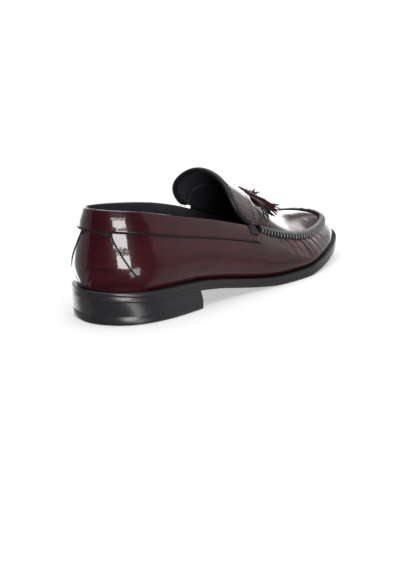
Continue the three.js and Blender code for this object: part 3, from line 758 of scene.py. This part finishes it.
def tongue_edge(side):
    ear = TONGUE_EAR * np.sin(math.pi * side ** 2) ** 2
    return angle_at(mix(TONGUE_TOP, TONGUE_FOOT, np.abs(side) ** 8) - ear)


def on_tongue(side, u, off):
    across = np.sin(side * math.pi / 2) * ring_across(u, tongue_margin(u))
    return on_arch(across, u, off)


sides = np.sin(np.linspace(-0.5, 0.5, 101) * math.pi)
LAP = STRAP_LAP + 2 * GAP
lap_start = angle_at(strap_edge(np.sin(sides * math.pi / 2)) - LAP / SOLE_LENGTH)
front = angle_at(strap_edge(np.sin(sides * math.pi / 2)))
way = np.concatenate([np.linspace(0, 0.955, 50), [0.97, 0.982, 0.991, 0.997, 1]])
u_grid = mix(tongue_edge(sides)[None], front[None], way[:, None])
s_grid = np.broadcast_to(sides, u_grid.shape)
distance = (front[None] - u_grid) * SOLE_LENGTH / 2
edge_round = 1 - np.sqrt(np.maximum(0, 1 - (1 - np.clip(distance / 0.5, 0, 1)) ** 2))
outer = on_tongue(s_grid, u_grid, STRAP_TOP - 0.35 * edge_round)
lapped = smooth((u_grid - lap_start[None] + 0.02) / 0.02)
inner = on_tongue(s_grid, u_grid, mix(STRAP_TOP - TONGUE_THICK, GAP * 0.3, lapped))
points, faces, kinds = shell(outer, inner)
# The tongue and strap face take the lightened strap leather, whose colour holds a painted reflection.
build("tongue_and_strap", points, faces, [strap_patent_painted_reflection, tongue_lining, black_leather], kinds, "tongue_strap")

# Binding round the tongue's free edge
bound = sides[np.abs(sides) < 0.985]
edge_u = tongue_edge(bound)
step = 0.004
tangent = unit(on_tongue(bound + step, tongue_edge(bound + step), 0 * bound)
               - on_tongue(bound - step, tongue_edge(bound - step), 0 * bound))
flat = 0 * bound
along_side = (on_tongue(bound + step, edge_u, flat) - on_tongue(bound - step, edge_u, flat)) / (2 * step)
along_u = (on_tongue(bound, edge_u + step, flat) - on_tongue(bound, edge_u - step, flat)) / (2 * step)
up = unit(np.cross(along_side, along_u))
inward = np.cross(up, tangent)
aa, ab = (along_side * along_side).sum(-1), (along_side * along_u).sum(-1)
bb = (along_u * along_u).sum(-1)
ra, rb = (inward * along_side).sum(-1), (inward * along_u).sum(-1)
det = aa * bb - ab * ab


def from_edge(reach, off):
    """A line on the tongue that runs that far in from its free edge."""
    return on_tongue(bound + (ra * bb - rb * ab) * reach / det,
                     edge_u + (rb * aa - ra * ab) * reach / det, np.full(bound.shape, off))


high, low = STRAP_TOP, STRAP_TOP - TONGUE_THICK
middle = (high + low) / 2
half = (high - low) / 2 + 0.4
BIND = 1.6
section = [(BIND, high + 0.03), (BIND, high + 0.3), (BIND - 0.3, high + 0.42), (0.9, high + 0.45)]
section += [(-0.2 - half * math.sin(t), middle + half * math.cos(t)) for t in np.linspace(0, math.pi, 9)]
section += [(0.9, low - 0.45), (BIND - 0.3, low - 0.42), (BIND, low - 0.3), (BIND, low - 0.03)]
grid = np.stack([from_edge(reach, off) for reach, off in section], 1)
ids = np.arange(grid.shape[0] * grid.shape[1]).reshape(grid.shape[:2])
faces = [tuple(f) for f in grid_faces(ids, True)] + [tuple(ids[0][::-1]), tuple(ids[-1])]
piece = build("tongue_edge_binding", grid.reshape(-1, 3), faces, [black_leather], None, "tongue_binding")
join_and_sharpen(piece)

heap = Heap()
running_stitches(heap, from_edge(1.0, high + 0.45), up, 2.6, 1.872, 0.3)
running_stitches(heap, from_edge(3.4, high), up, 2.3, 1.6, 0.38, 0)
for inset in (2.6, 5.2):
    s = sides[np.abs(sides) < 0.97]
    u = angle_at(strap_edge(np.sin(s * math.pi / 2)) - inset / SOLE_LENGTH)
    line = on_tongue(s, u, np.full(s.shape, STRAP_TOP))
    ups = arch_normal(np.sin(s * math.pi / 2) * ring_across(u, tongue_margin(u)), u)
    running_stitches(heap, line, ups, 2.3, 1.6, 0.38, 0)
heap.piece("strap_stitches", [thread], None, "waxed_thread")

# ---- Raised seam ----
ks = np.linspace(0.012, 1, 500)
profiles = []
for side in (1, -1):
    u0 = ring_angle(ks, 0)
    u0 = u0 if side > 0 else TURN - u0

    def below(way_down, off):
        return on_wall(u0, 1 - way_down / rim_rise(u0), np.full(ks.shape, off))
    knots = [below(SEAM_REACH, 0.0), below(SEAM_REACH, SEAM_CREST * 0.38),
             below(SEAM_REACH * 0.6, SEAM_CREST * 0.85),
             crease_point(u0, SEAM_CREST), on_ring(ks, side, SEAM_REACH * 0.5, np.full(ks.shape, SEAM_CREST)),
             on_ring(ks, side, SEAM_REACH, np.full(ks.shape, SEAM_CREST * 0.5)),
             on_ring(ks, side, SEAM_REACH, np.full(ks.shape, 0.0))]
    profiles.append(np.stack(knots, 1))
ridge = np.concatenate([profiles[0], profiles[1][-2::-1]])
crest = ridge[:, 3]
reach = np.append(0, np.cumsum(np.linalg.norm(np.diff(crest, axis=0), axis=1)))
seam_length = reach[-1]
at = np.linspace(0, seam_length, 1100)
ridge = np.stack([np.stack([np.interp(at, reach, ridge[:, j, i]) for i in range(3)], -1)
                  for j in range(7)], 1)
cells = np.linspace(0, 6, 17)
rows = []
for c in cells:
    i = min(int(c), 5)
    t = c - i
    p0, p1, p2, p3 = (ridge[:, max(0, min(6, i + d))] for d in (-1, 0, 1, 2))
    rows.append(0.5 * ((2 * p1) + (p2 - p0) * t + (2 * p0 - 5 * p1 + 4 * p2 - p3) * t ** 2
                       + (3 * p1 - p0 - 3 * p2 + p3) * t ** 3))
ridge = np.stack(rows, 1)
core = 0.5 * (ridge[:, :1] + ridge[:, -1:])
PITCH = 4.0
wave = 1 - 0.36 * (0.5 + 0.5 * np.cos(TURN * at / PITCH))[:, None, None] ** 2
ids = np.arange(ridge.shape[0] * ridge.shape[1]).reshape(ridge.shape[:2])
faces = [tuple(f) for f in grid_faces(ids, True)] + [tuple(ids[0][::-1]), tuple(ids[-1])]
piece = build("apron_seam_ridge", (core + (ridge - core) * wave).reshape(-1, 3), faces, [thread], None,
              "apron_seam")
join_and_sharpen(piece)

heap = Heap()
for i in range(int(seam_length / PITCH)):
    s0 = (i + 0.5) * PITCH
    js = np.linspace(0.6, 12.0, 9)
    s = s0 + (js / 12 - 0.5) * 0.7
    row = np.interp(s, at, np.arange(len(at)))
    i0 = np.clip(row.astype(int), 0, len(at) - 2)
    t = (row - i0)[:, None]
    j0 = js.astype(int)
    tj = (js - j0)[:, None]

    def surface(a, b):
        return ridge[a, np.clip(b, 0, 16)]
    line = mix(mix(surface(i0, j0), surface(i0 + 1, j0), t),
               mix(surface(i0, j0 + 1), surface(i0 + 1, j0 + 1), t), tj)
    centre = core[i0, 0]
    ups = unit(line - centre)
    line = line + ups * 0.12
    side_way, up_way = frames(line, ups)
    girth = 0.68 * np.sqrt(np.maximum(0.1, 1 - np.linspace(-1, 1, 9) ** 6))
    ring7 = np.array(circle(1.0, 7, 0.75))
    pts = line[:, None] + (side_way[:, None] * ring7[None, :, :1] + up_way[:, None] * ring7[None, :, 1:]) \
        * girth[:, None, None]
    gid = np.arange(63).reshape(9, 7)
    heap.add(pts.reshape(-1, 3), [*grid_faces(gid, True), gid[0][::-1], gid[-1]])
# The whip stitches take the grey thread whose colour is a painted highlight.
heap.piece("apron_seam_stitches", [seam_thread_painted_glint], None, "waxed_thread")


# ---- Overlays on the quarters ----
def band_foot(u):
    share = np.clip(share_at(u) / BAND_END, 0, 1)
    return 1 - mix(BAND_BACK, BAND_FRONT, share ** BAND_TAPER) / rim_rise(u)


def edge_drop(distance, width=0.9):
    return 1 - np.sqrt(np.maximum(0, 1 - (1 - np.clip(distance / width, 0, 1)) ** 2))


band_end = float(angle_at(BAND_END))
us = np.linspace(-band_end, band_end, 421)
rise = rim_rise(us)
foot = band_foot(us)
depth = (1 - foot) * rise
levels = np.concatenate([[0, 0.08, 0.2, 0.4, 0.7, 1.1], np.linspace(1.8, 9.0, 8)])
rows_out, rows_in = [], []
end_way = np.minimum(us - us[0], us[-1] - us) * 95
end_drop = edge_drop(end_way, 0.8)
for level in levels:
    up_by = level
    h = foot + up_by / rise
    plump = 0.35 * np.sin(math.pi * np.clip(up_by / depth, 0, 1))
    off = GAP + OVERLAY - 0.15 + plump - np.maximum(edge_drop(np.full(us.shape, up_by)), end_drop) * 0.95
    rows_out.append(on_wall(us, h, off))
    rows_in.append(on_wall(us, h, np.full(us.shape, 0.05)))
for turn_by in np.linspace(0, 0.78, 9):
    a = turn_by * math.pi
    centre_off, radius = 0.25, 1.1
    off = centre_off + radius * np.cos(a)
    h = 1 + (radius * 0.8 * math.sin(a) - 0.9) / rise
    rows_out.append(on_wall(us, h, np.full(us.shape, off) - end_drop * 0.5))
    rows_in.append(on_wall(us, np.minimum(h, 1 - 0.3 / rise), np.full(us.shape, 0.05 if off > 0.05 else off)))
points, faces, kinds = shell(np.stack(rows_out), np.stack(rows_in))
build("collar_band_leather", points, faces, [burgundy, black_leather, black_leather], kinds, "collar_band")

# Lining that turns over the collar's inner edge
rows = []
for a in np.linspace(0.25, 1.05, 9) * math.pi:
    h = 1 + (0.85 * math.sin(a) - 0.75) / rise
    rows.append(on_wall(us, h, np.full(us.shape, -1.45 + math.cos(a))))
for down in (2.5, 6, 10):
    rows.append(on_wall(us, 1 - down / rise, np.full(us.shape, -2.45)))
outer = np.stack(rows)
inner = np.stack([on_wall(us, 1 - d / rise, np.full(us.shape, -1.5)) for d in
                  (0.6, 0.6, 0.7, 0.8, 0.9, 1.0, 1.1, 1.2, 1.4, 2.5, 6, 10)])
points, faces, kinds = shell(outer, inner)
build("collar_lining", points, faces, [lining], np.zeros(len(faces), int), None)

# Heel counter
COUNTER_FOOT, COUNTER_LOW, COUNTER_STEEP = 0.62, 0.05, 1.25


def counter_seam(u):
    back = np.maximum(0, (COUNTER_FOOT - np.abs(u)) / COUNTER_FOOT)
    return COUNTER_LOW + COUNTER_STEEP * back ** COUNTER_STEEP


us = np.linspace(-COUNTER_FOOT + 0.01, COUNTER_FOOT - 0.01, 181)
top = np.minimum(band_foot(us) - GAP / COLLAR_RISE, counter_seam(us))
rise = rim_rise(us)
rows_out, rows_in = [], []
for v in np.concatenate([np.linspace(0, 0.9, 40), [0.93, 0.955, 0.975, 0.988, 0.996, 1]]):
    h = mix(0.0, top, v)
    away = (1 - v) * (top - 0.0) * rise
    off = 0.85 - 0.75 * edge_drop(away, 0.8)
    for at_u, at_h, slope, long, deep, width in WRINKLES:
        along, down = (us - at_u) * 36, (h - at_h) * rise
        line = (down - slope * along) / math.hypot(1, slope)
        off = off - deep * np.exp(-(line / width) ** 2 - (np.hypot(along, down) / long) ** 4)
    rows_out.append(on_wall(us, h, off))
    rows_in.append(on_wall(us, h, np.full(us.shape, 0.03)))
points, faces, kinds = shell(np.stack(rows_out), np.stack(rows_in))
build("heel_counter_leather", points, faces, [burgundy, black_leather, black_leather], kinds, "heel_counter")

heap = Heap()
for from_u, to_u, pitch, size in ((-0.95, 0.95, 1.8, 0.62), (0.95, band_end - 0.01, 2.6, 0.34),
                                  (-band_end + 0.01, -0.95, 2.6, 0.34)):
    us = np.linspace(from_u, to_u, 600)
    h = band_foot(us) + 0.75 / rim_rise(us)
    line = on_wall(us, h, np.full(us.shape, 1.25))
    running_stitches(heap, line, wall_normal(us, h), pitch, pitch * 0.75, size)
us = np.linspace(-band_end, band_end, 400)
h = band_foot(us) - 0.1 / rim_rise(us)
line = on_wall(us, h, np.full(us.shape, 0.3))
side_way, up_way = frames(line, wall_normal(us, h))
heap.add(*tube(line, side_way, up_way, circle(0.5, 6)))
for side in (1, -1):
    us = side * np.linspace(COUNTER_FOOT - 0.02, 0.16, 300)
    h = np.minimum(band_foot(us) - 0.03, counter_seam(us)) - 0.8 / rim_rise(us)
    h = np.maximum(h, 0.02)
    running_stitches(heap, on_wall(us, h, np.full(us.shape, 0.85)), wall_normal(us, h), 1.7, 1.3, 0.78, 0.1)
    # Black cover along the counter seam, widening towards the top: a dark seam line, and at its top, where it
    # meets the band, painted shade of the gap there.
    wide = mix(1.9, 0.8, smooth(np.linspace(1.25, 0, len(us)))) / rim_rise(us)
    lines = [h + 0.75 / rim_rise(us) + w * wide for w in np.linspace(-1, 1, 7)]
    cover = [on_wall(us, at_h, 0.3 + 0.75 * np.full(us.shape, 1 - w * w))
             for at_h, w in zip(lines, np.linspace(-1, 1, 7))]
    under = [on_wall(us, at_h, np.full(us.shape, 0.1)) for at_h in lines]
    heap.add(*shell(np.stack(cover), np.stack(under))[:2])
heap.piece("quarter_stitches", [thread], None, "waxed_thread")

# Tabs over the ends of the band
for side, name in ((1, "outer"), (-1, "inner")):
    back, front_u = (float(angle_at(s)) for s in TAB_SHARES)
    us = np.linspace(back, front_u, 25)
    ways = np.concatenate([[0, 0.15, 0.4, 0.8], np.linspace(1.2, TAB_HEIGHT - 0.8, 10),
                           TAB_HEIGHT - np.array([0.4, 0.15, 0])])
    end_way = np.minimum(us - back, front_u - us) * 150
    out, inn = [], []
    for w in ways:
        d = np.minimum(end_way, min(w, TAB_HEIGHT - w))
        a = side * us
        h = 1 - (TAB_HEIGHT - w * 0.99) / rim_rise(a)
        out.append(on_wall(a, h, 2.75 - 0.9 * edge_drop(d, 0.9)))
        inn.append(on_wall(a, h, np.full(us.shape, 0.9)))
    points, faces, kinds = shell(np.stack(out), np.stack(inn))
    build("seam_tab_" + name + "_leather", points, faces, [black_leather], np.zeros(len(faces), int),
          "seam_tab_" + name)

# ---- Tassels ----
STAY_FRONT = STRAP_CENTRE - 3.5 / SOLE_LENGTH
stay_from, stay_to = float(angle_at(STAY_FRONT - 8.5 / SOLE_LENGTH)), float(angle_at(STAY_FRONT))
u_line = np.linspace(stay_from, stay_to, 17)
v_line = np.linspace(-0.5, 0.5, 15)
ug, vg = np.meshgrid(u_line, v_line, indexing="ij")
cross = vg * 3.4 / half_chord(ug)
ends_round = np.clip(np.minimum(ug - stay_from, stay_to - ug) * 150 / 1.2, 0, 1)
height = 2.4 * (1 - 0.5 * np.abs(2 * vg) ** 2) * np.sqrt(np.maximum(0.15, 1 - (1 - ends_round) ** 2))
points, faces, kinds = shell(on_arch(cross, ug, STRAP_TOP + GAP * 0.5 + height),
                             on_arch(cross, ug, np.full(ug.shape, STRAP_TOP + 0.02)))
build("tassel_keeper", points, faces, [black_leather], np.zeros(len(faces), int), "tassel_stay")

TASSEL_RADIUS = 2.8
root_rise = STRAP_TOP + GAP + TASSEL_RADIUS * 0.55 * 1.2
knot_u = float(angle_at(STAY_FRONT + GAP / SOLE_LENGTH))
girth = curve([0, .06, .3, .6, .72, .8], [.55, .85, 1, 1.3, 1.35, 1.2], steady=True)
for side, direction, name in ((1, (15.5, 22, -16.5), "outer"), (-1, (-6, 30, -11.5), "inner")):
    rng = random.Random(7 + side)
    start = on_arch(np.array(side * 0.055), np.array(knot_u), np.array(root_rise))
    tip = start + unit(np.array(direction, float)) * 33
    mid = mix(start, tip, 0.45) + [0, 0, -1.2]

    def bend(k):
        k = np.asarray(k, float)[..., None]
        return start * (1 - k) ** 2 + 2 * mid * k * (1 - k) + tip * k ** 2

    def sideways(k):
        along = unit(bend(np.asarray(k) + 0.01) - bend(np.asarray(k) - 0.01))
        right = unit(np.cross(along, [0.0, 0, 1]))
        return right, np.cross(right, along)
    k = np.linspace(0, 0.64, 44)
    right, above = sideways(k)
    spiral = np.linspace(0, TURN, 41)[:-1]
    wrap = 1 + 0.12 * (((spiral - 0.9) % TURN) / TURN)
    rings = 0.22 * sum(np.exp(-((k - c) / 0.016) ** 2) for c in (0.07, 0.125, 0.18))
    radius = girth(k) * TASSEL_RADIUS * (1 + rings) * 0.97
    around = spiral[None] + 0.7 * k[:, None]
    spokes = right[:, None] * np.cos(around)[..., None] + above[:, None] * np.sin(around)[..., None]
    pts = bend(k)[:, None] + spokes * (radius[:, None] * wrap[None])[..., None]
    ids = np.arange(pts.shape[0] * pts.shape[1]).reshape(pts.shape[:2])
    heap = Heap()
    heap.add(pts.reshape(-1, 3), [*grid_faces(ids, True), ids[0][::-1], ids[-1]])

    def strip(around, layer, first, end, sway, out_by, width, thick, lift_by, kind):
        k = np.linspace(first, end, 10)
        t = (k - first) / (end - first)
        right, above = sideways(k)
        ang = around + sway * t ** 1.5
        r = TASSEL_RADIUS * (1.15 * layer + out_by * t ** 1.6)
        radial = right * np.cos(ang)[:, None] + above * np.sin(ang)[:, None]
        centre = bend(k) + radial * r[:, None] + np.array([0, 0, 1.0]) * (lift_by * t ** 2)[:, None]
        along = unit(np.gradient(centre, axis=0))
        wide = unit(np.cross(along, unit(radial)))
        deep = np.cross(wide, along)
        w = width * (1 - 0.35 * t)
        corners = [(-1, -1), (1, -1), (1, 1), (-1, 1)]
        section = [wide * (a * w)[:, None] + deep * (b * thick) for a, b in corners]
        body = centre[:, None] + np.stack(section, 1)
        gid = np.arange(40).reshape(10, 4)
        heap.add(body.reshape(-1, 3), [*grid_faces(gid, True), gid[0][::-1], gid[-1]], kind)
    # Strips on the fringe's underside, and all strips of the inner tassel, take the black thread: painted
    # shade where the fringe turns away from the light. Every fourth strip is black as well.
    for n in range(24):
        turn_by = TURN * n / 24 + rng.uniform(-0.1, 0.1)
        shaded_underside = math.sin(turn_by) < -0.1
        strip(turn_by, 0.7 if n % 2 else 0.98, 0.56, rng.uniform(0.86, 1.0), rng.uniform(-0.25, 0.25),
              rng.uniform(0.1, 0.5), 0.85, 0.32,
              rng.uniform(-2.2, -0.4) if side > 0 else rng.uniform(0.5, 3.0),
              1 if shaded_underside or n % 4 == 3 or side < 0 else 0)
    for n in range(6):
        strip(rng.uniform(0, math.pi), 0.8, 0.7, rng.uniform(1.0, 1.08), rng.uniform(-0.4, 0.4),
              rng.uniform(0.3, 0.9), 0.38, 0.22,
              rng.uniform(0.3, 1.8) if side > 0 else rng.uniform(1.5, 4.0), 1)
    if side > 0:  # thin strips that hang down beside the strap's edge
        loose = ((.548, .93, 1.2), (.556, .90, 2.4), (.566, .93, 1.0), (.574, .86, 1.8))
        for end_share, end_across, rise in loose:
            a = np.linspace(0, 1, 12)
            across = mix(0.3, end_across, a)
            along_u = angle_at(mix(STAY_FRONT + 0.004, end_share, a ** 0.8))
            lift_off = mix(1.0, rise, a) + 1.2 * np.sin(math.pi * a)
            centre = on_arch(across, along_u, lift_off)
            side_way, up_way = frames(centre, arch_normal(across, along_u))
            flat_strip = [(-0.8, -0.25), (0.8, -0.25), (0.8, 0.25), (-0.8, 0.25)]
            heap.add(*tube(centre, side_way, up_way, flat_strip), 1)
    piece = heap.piece("tassel_" + name + "_fringe", [tassel_patent, thread], "tassel_" + name,
                       "patent_leather")
    join_and_sharpen(piece)

# ---- Stage ----
floor_mat, tree, shader = material("floor_white")
shader.inputs["Base Color"].default_value = (0.55, 0.55, 0.552, 1)
shader.inputs["Emission Color"].default_value = (1, 1, 1, 1)
shader.inputs["Emission Strength"].default_value = 0.45
shader.inputs["Roughness"].default_value = 0.7
shader.inputs["Specular IOR Level"].default_value = 0.1
bpy.ops.mesh.primitive_plane_add(size=60, location=(0, 0, -0.0003))
floor = bpy.context.object
floor.name = "floor"
floor.data.materials.append(floor_mat)
floor.visible_glossy = False

# Soft studio light round the shoe: azimuths from the back view towards the outer side, elevations,
# soft edges of both, level
STUDIO = [
    (114, 166, 3, 34, 4, 14, 0.42),
    (114, 166, -14, 3, 12, 14, 0.27),
    (114, 190, -60, -13, 10, 14, 0.38),
    (164, 186, -10, 34, 16, 12, 0.62),
    (186, 202, -60, 17.5, 5, 5, 1.9),
    (197, 252, -60, 8.5, 4, 6, 3.3),
    (183, 252, 29, 60, 6, 12, 0.8),
    (250, 314, -60, 42, 1.5, 12, 0.30),
    (33, 75, 17.5, 19.5, 2, 1, 9.0),
    (36, 73, 8, 16, 2, 2, 16.0),
    (44, 73, -9, 5.5, 2, 2, 16.0),
    (70, 91, -21, -9, 3, 3, 6.5),
    (0, 360, 52, 100, 1, 16, 3.0),
    (0, 360, -100, 100, 1, 1, 0.03)]
world = bpy.data.worlds.new("studio")
bpy.context.scene.world = world
world.use_nodes = True
tree = world.node_tree
tree.nodes.clear()


def window(value, low, high, soft):
    rise = spread(tree, value, low - soft / 2, low + soft / 2)
    fall = spread(tree, value, high - soft / 2, high + soft / 2, 1.0, 0.0)
    for link in (rise, fall):
        link.node.interpolation_type = "SMOOTHSTEP"
    return math_node(tree, "MULTIPLY", rise, fall)


coords = tree.nodes.new("ShaderNodeTexCoord")
parts = tree.nodes.new("ShaderNodeSeparateXYZ")
tree.links.new(coords.outputs["Generated"], parts.inputs[0])
azimuth = math_node(tree, "ARCTAN2", parts.outputs[0], math_node(tree, "MULTIPLY", parts.outputs[1], -1.0))
azimuth = math_node(tree, "WRAP", math_node(tree, "MULTIPLY", azimuth, 180 / math.pi), 360.0, 0.0)
elevation = math_node(tree, "MULTIPLY", math_node(tree, "ARCSINE", parts.outputs[2]), 180 / math.pi)
total = None
for az0, az1, el0, el1, soft_az, soft_el, level in STUDIO:
    part = window(elevation, el0, el1, soft_el)
    if az1 - az0 < 360:
        part = math_node(tree, "MULTIPLY", part, window(azimuth, az0, az1, soft_az))
    part = math_node(tree, "MULTIPLY", part, level)
    total = part if total is None else math_node(tree, "ADD", total, part)
glow = tree.nodes.new("ShaderNodeBackground")
tree.links.new(total, glow.inputs["Strength"])
backdrop = node(tree, "ShaderNodeBackground", Color=(1, 1, 1, 1), Strength=1.0)
seen = tree.nodes.new("ShaderNodeLightPath")
choice = tree.nodes.new("ShaderNodeMixShader")
tree.links.new(seen.outputs["Is Camera Ray"], choice.inputs[0])
tree.links.new(glow.outputs[0], choice.inputs[1])
tree.links.new(backdrop.outputs[0], choice.inputs[2])
tree.links.new(choice.outputs[0], tree.nodes.new("ShaderNodeOutputWorld").inputs["Surface"])
bpy.context.scene.view_settings.view_transform = "Standard"
